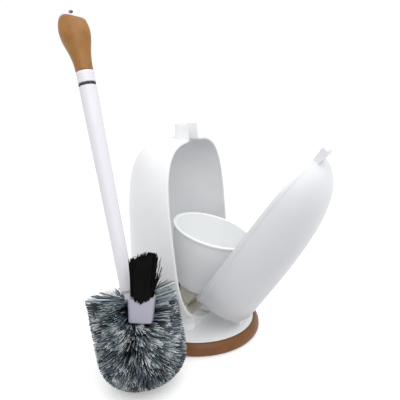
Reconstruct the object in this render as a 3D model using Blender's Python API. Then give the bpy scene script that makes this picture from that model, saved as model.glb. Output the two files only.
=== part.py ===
"""Toilet brush caddy with a forward-opening door, a rocking drip cup and its brush.

Metres, +Z up, door opening towards -Y, floor at z = 0. The caddy is drawn standing open.
"""
import math

import bmesh
import bpy
from mathutils import Matrix, Vector

MM = 0.001
NAME = "toilet_brush_holder"

# ---- driving sizes, mm -------------------------------------------------------------------
CLEAR = 0.3                # gap between fixed pieces that touch
RUN = 0.05                 # radial clearance of a pin in its bore

RING_R = 75.0              # rubber ring at its widest
RING_TOP_R = 70.4          # where ring and disc meet on top
RING_H = 14.0
RING_IN_R = 66.0
DISC_CROWN = 1.2           # rise of the disc's top from rim to middle
PLATE_T = 2.2
DISC_WALL = 2.6

BODY_H = 226.0             # top of the capsule
BODY_R = 67.0              # capsule radius
BODY_F = -12.5             # capsule axis, measured forwards from the base axis
WALL = 2.6
SHOULDER_Z = 106.5         # above this the radius falls to the crown, below it the mouth narrows
CROWN_P, CROWN_Q = 4.07, 3.43
MOUTH_P, MOUTH_Q = 3.66, 1.69
SPLIT_F, SPLIT_SLOPE, SPLIT_Z = 6.8, -0.101, 121.0
BODY_Z = RING_H + DISC_CROWN + CLEAR

COLLAR_F = -14.5           # collar over the brush tube
COLLAR_IN, COLLAR_WALL = 9.3, 2.5
COLLAR_TOP = 242.0

DOOR_WALL = 2.6
DOOR_D = 52.5              # door depth in front of the split plane
DOOR_GAP = 0.8
BELLY = 0.129              # height share at which the door is deepest
DOOR_P1, DOOR_Q1, DOOR_P2, DOOR_Q2 = 3.295, 2.958, 2.73, 2.34
LIP_W, LIP_T = 4.0, 0.9
TAB_HALF, TAB_D = 8.6, 7.0
DOOR_OPEN = 39.4           # degrees
DOOR_AXIS = (53.9, 31.0)   # forwards, up
LUG_HALF, LUG_R = 5.5, 6.0
EAR_T = 3.0
PIN_R = 2.0

CUP_LEAN = 13.0            # degrees that the cup leans forwards when the door is open
CUP_AXIS = (-13.0, 27.0)
CUP_RIM, CUP_RIM_A, CUP_RIM_B = (-2.0, 129.0), 38.0, 46.0
CUP_FLOOR, CUP_FLOOR_A, CUP_FLOOR_B = (-5.8, 51.5), 20.0, 25.0
CUP_WALL = 2.2
CRADLE_HALF = 14.0

LINK_CUP = (8.0, 39.5)     # link pins with the door open
LINK_DOOR = (58.0, 35.3)
LINK_PLAY = 0.35           # the link's eye on the door pin is this much larger all round
LINK_T = 3.2
LINK_X = 12.0              # the link runs beside the lug

BRUSH_FOOT = (-136.5, -19.8, 3.3)
BRUSH_DIR = (0.140, 0.294, 0.9455)
HEAD_R, HEAD_L = 44.5, 96.0
HEAD_OFF = 2.5             # the head stands out a little more on one side
TUBE_R0, TUBE_R1 = 7.2, 8.8
NECK_Z = 300.0
GRIP_Z = 313.0
CAP_Z = 362.0
TUFT_AT, TUFT_Y = (11.5, 70.5), -27.0
TUFT_LEAN = 13.0
BLOCK_H = 23.0

WHITE = (0.86, 0.86, 0.85)
GREY = (0.46, 0.45, 0.41)
TAN = (0.40, 0.20, 0.075)


# ---- helpers -----------------------------------------------------------------------------
def clear_scene():
    for obj in list(bpy.data.objects):
        bpy.data.objects.remove(obj, do_unlink=True)


def collection(name):
    group = bpy.data.collections.new(name)
    bpy.context.scene.collection.children.link(group)
    return group


def material(name, colour, roughness, metallic=0.0):
    mat = bpy.data.materials.new(name)
    mat.use_nodes = True
    shader = mat.node_tree.nodes["Principled BSDF"]
    shader.inputs["Base Color"].default_value = (*colour, 1.0)
    shader.inputs["Roughness"].default_value = roughness
    shader.inputs["Metallic"].default_value = metallic
    return mat


def mesh_object(name, verts, faces, group, mat=None):
    mesh = bpy.data.meshes.new(name)
    mesh.from_pydata([(x * MM, y * MM, z * MM) for x, y, z in verts], [], faces)
    bm = bmesh.new()
    bm.from_mesh(mesh)
    bmesh.ops.remove_doubles(bm, verts=bm.verts, dist=1e-7)
    bmesh.ops.recalc_face_normals(bm, faces=bm.faces)
    bm.to_mesh(mesh)
    bm.free()
    obj = bpy.data.objects.new(name, mesh)
    group.objects.link(obj)
    if mat:
        mesh.materials.append(mat)
    return obj


def piece(name, verts, faces, mat):
    return mesh_object(name, verts, faces, PARTS, mat)


def cutter(name, verts, faces):
    obj = mesh_object(name, verts, faces, CUTTERS)
    obj.hide_render = True
    obj.display_type = "WIRE"
    return obj


def combine(obj, other, operation):
    mod = obj.modifiers.new(operation.lower(), "BOOLEAN")
    mod.operation = operation
    mod.solver = "EXACT"
    mod.object = other
    return mod


def cut(obj, other):
    return combine(obj, other, "DIFFERENCE")


def fuse(obj, other):
    return combine(obj, other, "UNION")


def keep(obj, other):
    return combine(obj, other, "INTERSECT")


def loops(rows, close_ends=True):
    """Closed skin through rows of points; a row of one point is a pole."""
    verts, index = [], []
    for row in rows:
        index.append(list(range(len(verts), len(verts) + len(row))))
        verts.extend(row)
    faces = []
    for low, high in zip(index, index[1:]):
        n = max(len(low), len(high))
        for k in range(n):
            m = (k + 1) % n
            if len(low) == 1:
                faces.append((low[0], high[m], high[k]))
            elif len(high) == 1:
                faces.append((low[k], low[m], high[0]))
            else:
                faces.append((low[k], low[m], high[m], high[k]))
    if close_ends and len(index[0]) > 1:
        faces.append(tuple(reversed(index[0])))
    if close_ends and len(index[-1]) > 1:
        faces.append(tuple(index[-1]))
    return verts, faces


def ring(radius, z, n, centre=(0.0, 0.0), radius_b=None):
    if radius < 1e-6:
        return [(centre[0], centre[1], z)]
    b = radius if radius_b is None else radius_b
    return [(centre[0] + radius * math.cos(2 * math.pi * k / n),
             centre[1] + b * math.sin(2 * math.pi * k / n), z) for k in range(n)]


def lathe(profile, n=48, centre=(0.0, 0.0)):
    """Solid of revolution; profile runs (r, z) from the bottom to the top."""
    return loops([ring(r, z, n, centre) for r, z in profile])


def torus_like(profile, n=64, centre=(0.0, 0.0)):
    """Ring whose closed (r, z) section never reaches the axis."""
    m = len(profile)
    verts, faces = [], []
    for r, z in profile:
        verts.extend(ring(r, z, n, centre))
    for i in range(m):
        j = (i + 1) % m
        for k in range(n):
            q = (k + 1) % n
            faces.append((i * n + k, i * n + q, j * n + q, j * n + k))
    return verts, faces


def box(x0, x1, y0, y1, z0, z1):
    verts = [(x, y, z) for z in (z0, z1) for y in (y0, y1) for x in (x0, x1)]
    faces = [(0, 2, 3, 1), (4, 5, 7, 6), (0, 1, 5, 4), (2, 6, 7, 3), (0, 4, 6, 2), (1, 3, 7, 5)]
    return verts, faces


def prism_x(outline, x0, x1):
    """Flat plate across X; outline is (forwards, up)."""
    n = len(outline)
    verts = [(x, -f, z) for x in (x0, x1) for f, z in outline]
    faces = [tuple(range(n)), tuple(range(2 * n - 1, n - 1, -1))]
    faces += [(k, (k + 1) % n, n + (k + 1) % n, n + k) for k in range(n)]
    return verts, faces


def rod_x(centre, radius, x0, x1, n=24):
    return prism_x([(centre[0] + radius * math.cos(2 * math.pi * k / n),
                     centre[1] + radius * math.sin(2 * math.pi * k / n)) for k in range(n)], x0, x1)


def capsule_outline(a, b, ra, rb, n=10):
    """Outline round two circles in the (forwards, up) plane."""
    ang = math.atan2(b[1] - a[1], b[0] - a[0])
    dist = math.hypot(b[0] - a[0], b[1] - a[1])
    tilt = math.acos(max(-1.0, min(1.0, (ra - rb) / dist)))
    pts = []
    for k in range(n + 1):
        t = ang - tilt + 2 * tilt * k / n
        pts.append((b[0] + rb * math.cos(t), b[1] + rb * math.sin(t)))
    for k in range(n + 1):
        t = ang + tilt + (2 * math.pi - 2 * tilt) * k / n
        pts.append((a[0] + ra * math.cos(t), a[1] + ra * math.sin(t)))
    return pts


def turned(data, axis, degrees):
    """Tips points forwards about a cross axis given as (forwards, up)."""
    a = math.radians(degrees)
    verts = []
    for x, y, z in data[0]:
        f, u = -y - axis[0], z - axis[1]
        verts.append((x, -(axis[0] + f * math.cos(a) + u * math.sin(a)),
                      axis[1] - f * math.sin(a) + u * math.cos(a)))
    return verts, data[1]


def placed(data, matrix):
    verts = [tuple(matrix @ Vector(v)) for v in data[0]]
    return verts, data[1]


# ---- body shape --------------------------------------------------------------------------
def split_f(z):
    return SPLIT_F + SPLIT_SLOPE * (z - SPLIT_Z)


def mouth_half(z, radius=BODY_R):
    """Half width of the mouth in the split plane at height z."""
    d = split_f(z) - BODY_F
    if z >= SHOULDER_Z:
        t = min(1.0, (z - SHOULDER_Z) / (BODY_H - SHOULDER_Z))
        r = radius * (1 - t ** CROWN_P) ** (1 / CROWN_Q)
        return math.sqrt(max(r * r - d * d, 0.0))
    t = min(1.0, (SHOULDER_Z - z) / (SHOULDER_Z - BODY_Z))
    return math.sqrt(radius ** 2 - d * d) * (1 - t ** MOUTH_P) ** (1 / MOUTH_Q)


def body_profile(inset=0.0, rows_low=10, rows_high=11):
    """Capsule profile, bottom to top; inset moves it inwards."""
    profile = []
    for k in range(rows_low):
        t = math.cos(0.5 * math.pi * k / rows_low) ** (2 / MOUTH_P)
        z = SHOULDER_Z - t * (SHOULDER_Z - BODY_Z)
        d = split_f(z) - BODY_F
        profile.append((math.hypot(mouth_half(z), d), z))
    for k in range(rows_high + 1):
        a = 0.5 * math.pi * k / rows_high
        r = BODY_R * max(math.cos(a), 0.0) ** (2 / CROWN_Q)
        profile.append((r if k < rows_high else 0.0, SHOULDER_Z + (BODY_H - SHOULDER_Z) * math.sin(a) ** (2 / CROWN_P)))
    if inset:
        mid = 0.5 * (BODY_H + BODY_Z)
        kz = 1 - inset / (mid - BODY_Z)
        kr = 1 - inset / BODY_R
        profile = [(r * kr, mid + (z - mid) * kz) for r, z in profile]
    return profile


def half_space(gap, tilt_data=None):
    """Slanted block in front of (gap < 0: behind) the split plane."""
    f0, f1 = split_f(-20.0), split_f(300.0)
    if gap >= 0:
        outline = [(f0 + gap, -20.0), (160.0, -20.0), (160.0, 300.0), (f1 + gap, 300.0)]
    else:
        outline = [(f0 - gap, -20.0), (f1 - gap, 300.0), (-160.0, 300.0), (-160.0, -20.0)]
    return prism_x(outline, -120.0, 120.0)


# ---- base --------------------------------------------------------------------------------
def build_base(m):
    section = [(RING_IN_R, 0.0), (RING_R - 2.6, 0.0), (RING_R - 0.7, 1.5), (RING_R, 4.4), (RING_R - 0.5, 7.6),
               (RING_R - 1.9, 10.6), (RING_TOP_R + 0.4, 13.2), (RING_TOP_R, RING_H), (RING_IN_R + 2.0, RING_H),
               (RING_IN_R + 2.0, 10.5), (RING_IN_R, 10.5)]
    # the ring keeps its section to the edge of the disc, which laps over its inner step
    piece("base_ring", *torus_like(section, 60), m["ring"])

    r_in = RING_IN_R - CLEAR
    top = RING_H + 0.2
    disc = [(r_in, PLATE_T + CLEAR), (r_in, 10.5 + CLEAR), (RING_IN_R + 2.0 - CLEAR, 10.5 + CLEAR)]
    disc += [(RING_IN_R + 2.0 - CLEAR, top), (60.0, top + 0.5 * DISC_CROWN), (48.0, RING_H + DISC_CROWN), (0.0, RING_H + DISC_CROWN)]
    shell = piece("base_disc", *lathe(disc, 60), m["white"])
    hollow = [(r_in - DISC_WALL, -1.0), (r_in - DISC_WALL, RING_H - 3.2), (0.0, RING_H - 2.4)]
    cut(shell, cutter("cut_disc_hollow", *lathe(hollow, 48)))
    for k in range(3):
        a = math.radians(90 + 120 * k)
        boss = cutter("boss_%d" % k, *lathe([(4.2, PLATE_T + CLEAR), (4.2, RING_H - 1.5)], 20,
                                              (50.0 * math.cos(a), 50.0 * math.sin(a))))
        fuse(shell, boss)
        hole = cutter("cut_boss_%d" % k, *lathe([(1.5, -1.0), (1.5, 10.5)], 16,
                                                  (50.0 * math.cos(a), 50.0 * math.sin(a))))
        cut(shell, hole)
    lug = prism_x(lug_outline(), -LUG_HALF, LUG_HALF)
    fuse(shell, cutter("door_lug", *lug))
    cut(shell, cutter("cut_door_lug", *rod_x(DOOR_AXIS, PIN_R + RUN, -20.0, 20.0)))

    plate = piece("base_plate", *lathe([(r_in, 0.0), (r_in, PLATE_T)], 64), m["white"])
    for k in range(3):
        a = math.radians(90 + 120 * k)
        centre = (50.0 * math.cos(a), 50.0 * math.sin(a))
        cut(plate, cutter("cut_plate_%d" % k, *lathe([(3.2, -1.0), (3.2, 1.5), (1.9, 1.6), (1.9, 4.0)], 20, centre)))
        screw = [(2.7, 0.25), (2.7, 1.35), (1.45, 1.7), (1.45, 9.5)]
        piece("base_screw_%d" % (k + 1), *lathe(screw, 20, centre), m["steel"])


def lug_outline():
    f, z = DOOR_AXIS
    pts = [(f - LUG_R, RING_H - 1.0), (f + LUG_R, RING_H - 1.0)]
    for k in range(13):
        a = math.pi * k / 12
        pts.append((f + LUG_R * math.cos(a), z + LUG_R * math.sin(a)))
    return pts


def build_back_shell(m):
    outer = body_profile()
    foot = []
    for r, z in outer:
        flare = 46.0 + 6.0 * max(0.0, 1 - (z - BODY_Z) / 6.0) ** 2
        foot.append((max(r, flare) if z < 40 else r, z))
    centre = (0.0, -BODY_F)
    shell = piece("back_shell", *lathe(foot, 56, centre), m["white"])
    collar_r = COLLAR_IN + COLLAR_WALL
    collar = lathe([(collar_r, BODY_H - 12.0), (collar_r, COLLAR_TOP - 0.8), (collar_r - 0.8, COLLAR_TOP)], 40, (0.0, -COLLAR_F))
    fuse(shell, cutter("collar_round", *collar))
    fuse(shell, cutter("collar_walls", *box(-collar_r, collar_r, COLLAR_F - 0.5, -COLLAR_F, BODY_H - 12.0, COLLAR_TOP)))
    cut(shell, cutter("cut_shell_inside", *lathe(body_profile(WALL), 56, centre)))
    cut(shell, cutter("cut_collar_round", *lathe([(COLLAR_IN, BODY_H - 30.0), (COLLAR_IN, 300.0)], 32, (0.0, -COLLAR_F))))
    cut(shell, cutter("cut_collar_slot", *box(-COLLAR_IN, COLLAR_IN, -30.0, -COLLAR_F, BODY_H - 30.0, 300.0)))
    cut(shell, cutter("cut_shell_front", *half_space(0.0)))


def cradle_outline():
    f, z = CUP_AXIS
    pts = [(f - 8.0, 20.5), (f + 8.0, 20.5)]
    for k in range(11):
        a = math.pi * k / 10
        pts.append((f + 5.0 * math.cos(a), z + 5.0 * math.sin(a)))
    return pts


def build_cradle(m):
    z0 = body_profile(WALL)[0][1] + CLEAR
    f, z = CUP_AXIS
    cradle = piece("pivot_cradle", *box(-CRADLE_HALF, CRADLE_HALF, -f - 14.0, -f + 14.0, z0, z0 + 2.2), m["grey"])
    for side in (-1, 1):
        x0, x1 = sorted((side * CRADLE_HALF, side * (CRADLE_HALF - 3.6)))
        fuse(cradle, cutter("cradle_ear_%d" % side, *prism_x([(a, max(b, z0 + 1.0)) for a, b in cradle_outline()], x0, x1)))
    cut(cradle, cutter("cut_cradle", *rod_x(CUP_AXIS, PIN_R + RUN, -30.0, 30.0)))
    pin = piece("cup_pin", *rod_x(CUP_AXIS, PIN_R, -CRADLE_HALF - 2.2, CRADLE_HALF + 1.2), m["steel"])
    fuse(pin, cutter("cup_pin_head", *rod_x(CUP_AXIS, PIN_R + 1.4, -CRADLE_HALF - 2.2, -CRADLE_HALF - CLEAR)))


# ---- door --------------------------------------------------------------------------------
def door_depth(s):
    if s >= BELLY:
        return (1 - ((s - BELLY) / (1 - BELLY)) ** DOOR_P1) ** (1 / DOOR_Q1)
    return (1 - ((BELLY - s) / BELLY) ** DOOR_P2) ** (1 / DOOR_Q2)


def door_top_z():
    low, high = SHOULDER_Z, BODY_H
    for _ in range(60):
        mid = 0.5 * (low + high)
        if mouth_half(mid) > 0:
            low = mid
        else:
            high = mid
    return low


def door_solid(inset, n=30, lip=False, back=0.0):
    """Front half of the body behind an inset skin, closed by the split plane."""
    top = door_top_z()
    z_low, z_high = BODY_Z + 0.6, top
    angles = [0.0, 4.4, 4.9, 11.0, 20.0, 31.0, 43.0, 55.0, 67.0, 78.5, 90.0]
    if not lip:
        angles = [0.0, 9.0, 20.0, 31.0, 43.0, 55.0, 67.0, 78.5, 90.0]
    angles = [math.radians(a) for a in angles]
    angles = angles + [math.pi - a for a in reversed(angles[:-1])]
    mid = 0.5 * (z_low + z_high)
    kz = 1 - inset / (mid - z_low)
    rows = []
    for i in range(n + 1):
        share = 0.5 - 0.5 * math.cos(math.pi * i / n)
        share = share + 0.5 * (0.5 - 0.5 * math.cos(math.pi * share) - share)
        z = z_low + share * (z_high - z_low)
        half = mouth_half(z)
        depth = DOOR_D * door_depth((z - z_low) / (BODY_H - z_low))
        zz = mid + (z - mid) * kz
        f0 = split_f(zz) + DOOR_GAP - back
        if i in (0, n):
            rows.append([(0.0, -f0, zz)])
            continue
        kx = 1 - inset / max(half, 20.0)
        kd = 1 - inset / max(depth, 20.0)
        row = []
        for j, a in enumerate(angles):
            extra = LIP_T if lip and (j < 2 or j > len(angles) - 3) else 0.0
            grow = (half * kx + extra) * math.cos(a)
            row.append((grow, -(f0 + (depth * kd + back) * math.sin(a)), zz))
        rows.append(row)
    return loops(rows)


def closed_to_open(data):
    return turned(data, DOOR_AXIS, DOOR_OPEN)


def build_door(m):
    door = piece("door_shell", *closed_to_open(door_solid(0.0, 28, True)), m["white"])
    f, z = DOOR_AXIS
    slot = box(LINK_X - LINK_T / 2 - 1.2, LINK_X + LINK_T / 2 + 1.2, -44.0, -10.0, 8.0, 26.0)
    cut(door, cutter("cut_door_link_slot", *closed_to_open(slot)))
    cut(door, cutter("cut_door_inside", *closed_to_open(door_solid(DOOR_WALL, 24, False, 6.0))))
    sweep = math.radians(DOOR_OPEN + 2.0)
    r = LUG_R + 1.5
    far = (f + r * math.cos(sweep) + 60.0 * math.sin(sweep), z + r * math.sin(sweep) - 60.0 * math.cos(sweep))
    slot = [(f - r, -5.0), far]
    for k in range(9):
        a = sweep + (math.pi - sweep) * k / 8
        slot.append((f + r * math.cos(a), z + r * math.sin(a)))
    cut(door, cutter("cut_door_lug_slot", *closed_to_open(prism_x(slot, -LUG_HALF - 0.8, LUG_HALF + 0.8))))
    for side in (-1, 1):
        x0, x1 = sorted((side * (LUG_HALF + CLEAR), side * (LUG_HALF + CLEAR + EAR_T)))
        ear = [(f - 6.0, z - 1.0), (f - 4.2, z - 4.6), (f + 1.0, z - 6.0), (f + 9.2, z - 6.4), (f + 12.4, z + 2.0),
               (f + 12.6, z + 16.0), (f + 4.0, z + 17.0), (f - 3.0, z + 15.5), (f - 6.0, z + 5.0)]
        fuse(door, cutter("door_ear_%d" % side, *closed_to_open(prism_x(ear, x0, x1))))
    top = door_top_z()
    back = split_f(top) + DOOR_GAP
    tab = [(back, top - 3.4), (back + TAB_D, top - 5.4), (back + TAB_D, COLLAR_TOP - 3.0),
           (back + TAB_D - 2.0, COLLAR_TOP - 1.0), (split_f(COLLAR_TOP) + DOOR_GAP, COLLAR_TOP - 1.0)]
    fuse(door, cutter("door_tab", *closed_to_open(prism_x(tab, -TAB_HALF, TAB_HALF))))
    cut(door, cutter("cut_door_pin", *rod_x(DOOR_AXIS, PIN_R + RUN, -30.0, 30.0)))
    cut(door, cutter("cut_link_pin", *rod_x(LINK_DOOR, 1.5 + RUN, LUG_HALF - 3.0, 16.0)))
    half = LUG_HALF + CLEAR + EAR_T
    pin = piece("door_pin", *rod_x(DOOR_AXIS, PIN_R, -half - 2.0, half + 1.0), m["steel"])
    fuse(pin, cutter("door_pin_head", *rod_x(DOOR_AXIS, PIN_R + 0.8, -half - 2.0, -half - CLEAR)))
    piece("link_pin_door", *rod_x(LINK_DOOR, 1.5, LUG_HALF + CLEAR + 0.1, LINK_X + LINK_T / 2 + 0.9), m["steel"])


# ---- cup ---------------------------------------------------------------------------------
def cup_solid(inset, extra_top, n=40, rows=6):
    out = []
    for k in range(rows + 1):
        s = k / rows
        share = s
        f = CUP_FLOOR[0] + (CUP_RIM[0] - CUP_FLOOR[0]) * share
        z = CUP_FLOOR[1] + (CUP_RIM[1] - CUP_FLOOR[1]) * s
        bow = 1 + 0.07 * math.sin(math.pi * s)
        a = (CUP_FLOOR_A + (CUP_RIM_A - CUP_FLOOR_A) * share) * bow - inset
        b = (CUP_FLOOR_B + (CUP_RIM_B - CUP_FLOOR_B) * share) * bow - inset
        if k == 0:
            out.append(ring(a - 4.0, z + inset, n, (0.0, -f), b - 4.0))
            out.append(ring(a - 1.2, z + inset + 1.2, n, (0.0, -f), b - 1.2))
            out.append(ring(a, z + inset + 4.0, n, (0.0, -f), b))
            continue
        if k == rows and not extra_top:
            out.append(ring(a, z - 3.2, n, (0.0, -f), b))
            out.append(ring(a + 1.5, z - 2.6, n, (0.0, -f), b + 1.5))
            out.append(ring(a + 1.5, z, n, (0.0, -f), b + 1.5))
            continue
        out.append(ring(a, z + (extra_top if k == rows else 0.0), n, (0.0, -f), b))
    return loops(out)


def leaned(data):
    return turned(data, CUP_AXIS, CUP_LEAN)


def build_cup(m):
    cup = piece("drip_cup", *leaned(cup_solid(0.0, 0.0)), m["cup"])
    cut(cup, cutter("cut_cup", *leaned(cup_solid(CUP_WALL, 6.0))))

    f, z = CUP_AXIS
    ff, fz = CUP_FLOOR
    under = fz - CLEAR
    half = CRADLE_HALF - 3.6 - CLEAR
    seat_f = ff - 6.0
    seat = loops([ring(13.0, under - 5.0, 32, (0.0, -seat_f), 11.0), ring(16.0, under - 1.6, 32, (0.0, -seat_f), 14.5),
                  ring(16.0, under, 32, (0.0, -seat_f), 14.5)])
    rocker = piece("cup_rocker", *leaned(seat), m["grey"])
    stem = prism_x([(f - 5.0, z), (f - 3.6, z - 3.6), (f, z - 5.0), (f + 3.6, z - 3.6), (f + 5.0, z), (ff + 6.0, under - 4.0),
                    (ff - 16.0, under - 4.0)], -half, half)
    fuse(rocker, cutter("rocker_stem", *leaned(stem)))
    ear = capsule_outline((LINK_CUP[0] - 9.0, LINK_CUP[1] - 1.0), LINK_CUP, 5.0, 3.6)
    fuse(rocker, cutter("rocker_ear", *prism_x(ear, half - 3.0, half)))
    cut(rocker, cutter("cut_rocker_pin", *rod_x(CUP_AXIS, PIN_R + RUN, -30.0, 30.0)))
    cut(rocker, cutter("cut_rocker_link_pin", *rod_x(LINK_CUP, 1.5 + RUN, -30.0, 30.0)))
    end = LINK_X + LINK_T / 2
    piece("link_pin_cup", *rod_x(LINK_CUP, 1.5, half - 3.8, end + 0.9), m["steel"])

    x0, x1 = LINK_X - LINK_T / 2, LINK_X + LINK_T / 2
    link = piece("link_bar", *prism_x(capsule_outline(LINK_CUP, LINK_DOOR, 3.6, 3.6), x0, x1), m["grey"])
    cut(link, cutter("cut_link_cup", *rod_x(LINK_CUP, 1.5 + RUN, -30.0, 30.0)))
    cut(link, cutter("cut_link_door", *rod_x(LINK_DOOR, 1.5 + LINK_PLAY, -30.0, 30.0)))

    # rubber buffer on the rocker's back
    pad = [(f - 8.0, 33.0), (f - 17.0, 36.0), (f - 16.5, 45.0), (ff - 18.5, under - 5.6), (ff - 13.0, under - 5.6 - 4.0)]
    buffer = piece("rocker_buffer", *leaned(prism_x(pad, -9.5, 9.5)), m["black"])
    cut(buffer, cutter("cut_buffer", *leaned(prism_x([(f - 5.0 - CLEAR, z - 3.0), (ff - 16.0 - CLEAR, under - 4.0 + CLEAR),
                                                      (ff + 12.0, under - 4.0 + CLEAR), (ff + 12.0, z - 3.0)], -half - 5.0, half + 5.0))))


# ---- brush -------------------------------------------------------------------------------
def brush_matrix():
    axis = Vector(BRUSH_DIR).normalized()
    view = Vector((-0.841, -0.462, 0.281))
    front = (view - axis * view.dot(axis)).normalized()
    side = axis.cross(front).normalized()
    rot = Matrix((side, -front, axis)).transposed().to_4x4()
    return Matrix.Translation(Vector(BRUSH_FOOT)) @ rot


def head_radius(z):
    if z < 40.0:
        return HEAD_R * max(0.0, 1 - ((40.0 - z) / 40.0) ** 2.4) ** (1 / 2.2)
    return HEAD_R


GRIP_ROWS = [(0.0, 8.9, 8.9, 0.0), (9.0, 9.6, 9.4, -0.2), (19.0, 11.4, 10.6, -0.7), (29.0, 14.2, 12.4, -1.2),
             (38.0, 15.6, 13.4, -1.4), (46.0, 15.2, 13.4, -1.6), (53.0, 13.4, 12.4, -1.6), (58.0, 10.4, 10.2, -1.4),
             (61.0, 6.6, 6.8, -1.2), (62.0, 2.6, 2.8, -1.2)]


def grip_solid():
    rows = [ring(a, GRIP_Z + z, 32, (off, 0.0), b) for z, a, b, off in GRIP_ROWS]
    return loops(rows)


def cap_block(shift):
    """Block above the wavy line between grip and cap."""
    n = 12
    low, high = [], []
    for k in range(n + 1):
        x = -24.0 + 48.0 * k / n
        low.append((x, CAP_Z + shift + 2.2 - 2.6 * math.sin(x * 0.16)))
    outline = low + [(24.0, CAP_Z + 40.0), (-24.0, CAP_Z + 40.0)]
    verts = [(x, y, z) for y in (-30.0, 30.0) for x, z in outline]
    m = len(outline)
    faces = [tuple(range(m)), tuple(range(2 * m - 1, m - 1, -1))]
    faces += [(k, (k + 1) % m, m + (k + 1) % m, m + k) for k in range(m)]
    return verts, faces


def build_brush(m):
    at = brush_matrix()

    def put(name, data, mat):
        return piece(name, *placed(data, at), m[mat])

    def tool(name, data):
        return cutter(name, *placed(data, at))

    core_r = 4.6
    # tube, open at both ends of its bore
    tube = put("tube", lathe([(TUBE_R0, HEAD_L + CLEAR), (TUBE_R0 + 0.3, 160.0), (TUBE_R1, 280.0), (TUBE_R1, NECK_Z - 1.4)], 40), "white")
    cut(tube, tool("cut_tube", lathe([(core_r + 0.3, 60.0), (core_r + 0.3, 275.0), (6.0 + CLEAR, 276.0), (6.0 + CLEAR, 330.0)], 28)))
    neck = [(5.9, 280.0), (5.9, NECK_Z + 1.4), (8.9, NECK_Z + 1.41), (8.9, GRIP_Z - CLEAR - 1.0), (8.4, GRIP_Z - CLEAR),
            (5.9, GRIP_Z - CLEAR + 0.01), (5.9, GRIP_Z + 14.0)]
    put("neck_sleeve", lathe(neck, 36), "white")
    band = []
    for k in range(10):
        a = 2 * math.pi * k / 10
        band.append((7.55 + 1.35 * math.cos(a), NECK_Z + 1.05 * math.sin(a)))
    put("neck_ring", torus_like(band, 40), "black")
    grip = put("grip", grip_solid(), "grip")
    cut(grip, tool("cut_grip_cap", cap_block(-CLEAR)))
    cut(grip, tool("cut_grip_bore", lathe([(5.9 + CLEAR, 290.0), (5.9 + CLEAR, GRIP_Z + 14.0 + CLEAR)], 28)))
    cap = put("end_cap", grip_solid(), "white")
    keep(cap, tool("keep_cap", cap_block(0.0)))
    hole = [(x, -y, z) for x, z, y in lathe([(2.3, -30.0), (2.3, 30.0)], 20)[0]]
    hole = [(x - 1.3, y, z + GRIP_Z + 55.2) for x, y, z in hole]
    cut(cap, tool("cut_cap_hole", (hole, lathe([(2.3, -30.0), (2.3, 30.0)], 20)[1])))

    put("brush_core", lathe([(1.6, 14.0), (1.6, 56.0), (4.2, 60.0), (4.2, HEAD_L - 2.0), (core_r, HEAD_L - 1.0), (core_r, 118.0)], 24), "white")
    profile = [(0.0, 0.0)]
    for k in range(1, 9):
        z = 40.0 * (1 - math.cos(0.5 * math.pi * k / 8))
        profile.append((head_radius(z), z))
    profile += [(head_radius(66.0), 66.0), (head_radius(HEAD_L) - 2.0, HEAD_L - 2.0), (34.0, HEAD_L - 0.5), (10.0, HEAD_L - 6.0), (0.0, HEAD_L - 6.0)]
    head = put("bristle_head", lathe(profile, 44, (HEAD_OFF, 0.0)), "bristle")
    cut(head, tool("cut_head_core", lathe([(1.6 + CLEAR, 14.0 - CLEAR), (1.6 + CLEAR, 55.4), (4.2 + CLEAR, 59.6),
                                           (4.2 + CLEAR, 140.0)], 24)))

    # block for the under-rim tuft, let into the head's front and leaning outwards with its tuft
    def leant(data):
        turn = math.radians(TUFT_LEAN)
        x0, z0 = TUFT_AT
        verts = [(x0 + x * math.cos(turn) + z * math.sin(turn), y + TUFT_Y, z0 - x * math.sin(turn) + z * math.cos(turn))
                 for x, y, z in data[0]]
        return verts, data[1]

    rows = []
    for z, k in ((0.0, 0.9), (1.5, 0.96), (BLOCK_H - 1.5, 1.0), (BLOCK_H, 0.96)):
        rows.append([(x * k, y * k, z) for x, y in ((-12.2, -11.0), (12.2, -11.0), (12.2, 11.0), (-12.2, 11.0))])
    put("tuft_block", leant(loops(rows)), "white")
    cut(head, tool("cut_head_block", leant(box(-12.9, 12.9, -60.0, 11.6, -0.7, 70.0))))
    rows = []
    for z, k in ((BLOCK_H + CLEAR, 0.9), (40.0, 1.03), (52.0, 1.08), (61.0, 1.0)):
        rows.append(ring(12.4 * k, z, 20, (0.0, 0.0), 9.6 * k))
    put("rim_tuft", leant(loops(rows)), "black")


# ---- build -------------------------------------------------------------------------------
clear_scene()
PARTS = collection(NAME)
CUTTERS = collection("cutters")
MATS = {
    "white": material("white polypropylene", WHITE, 0.35),
    "cup": material("white polypropylene cup", (0.84, 0.84, 0.84), 0.4),
    "grey": material("warm grey polypropylene", GREY, 0.45),
    "ring": material("tan rubber", TAN, 0.5),
    "grip": material("tan soft grip", TAN, 0.55),
    "black": material("black rubber", (0.02, 0.02, 0.02), 0.6),
    "bristle": material("grey nylon bristle", (0.42, 0.46, 0.48), 0.7),
    "steel": material("zinc plated steel", (0.6, 0.6, 0.62), 0.3, 1.0),
}
build_base(MATS)
build_back_shell(MATS)
build_cradle(MATS)
build_door(MATS)
build_cup(MATS)
build_brush(MATS)
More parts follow.
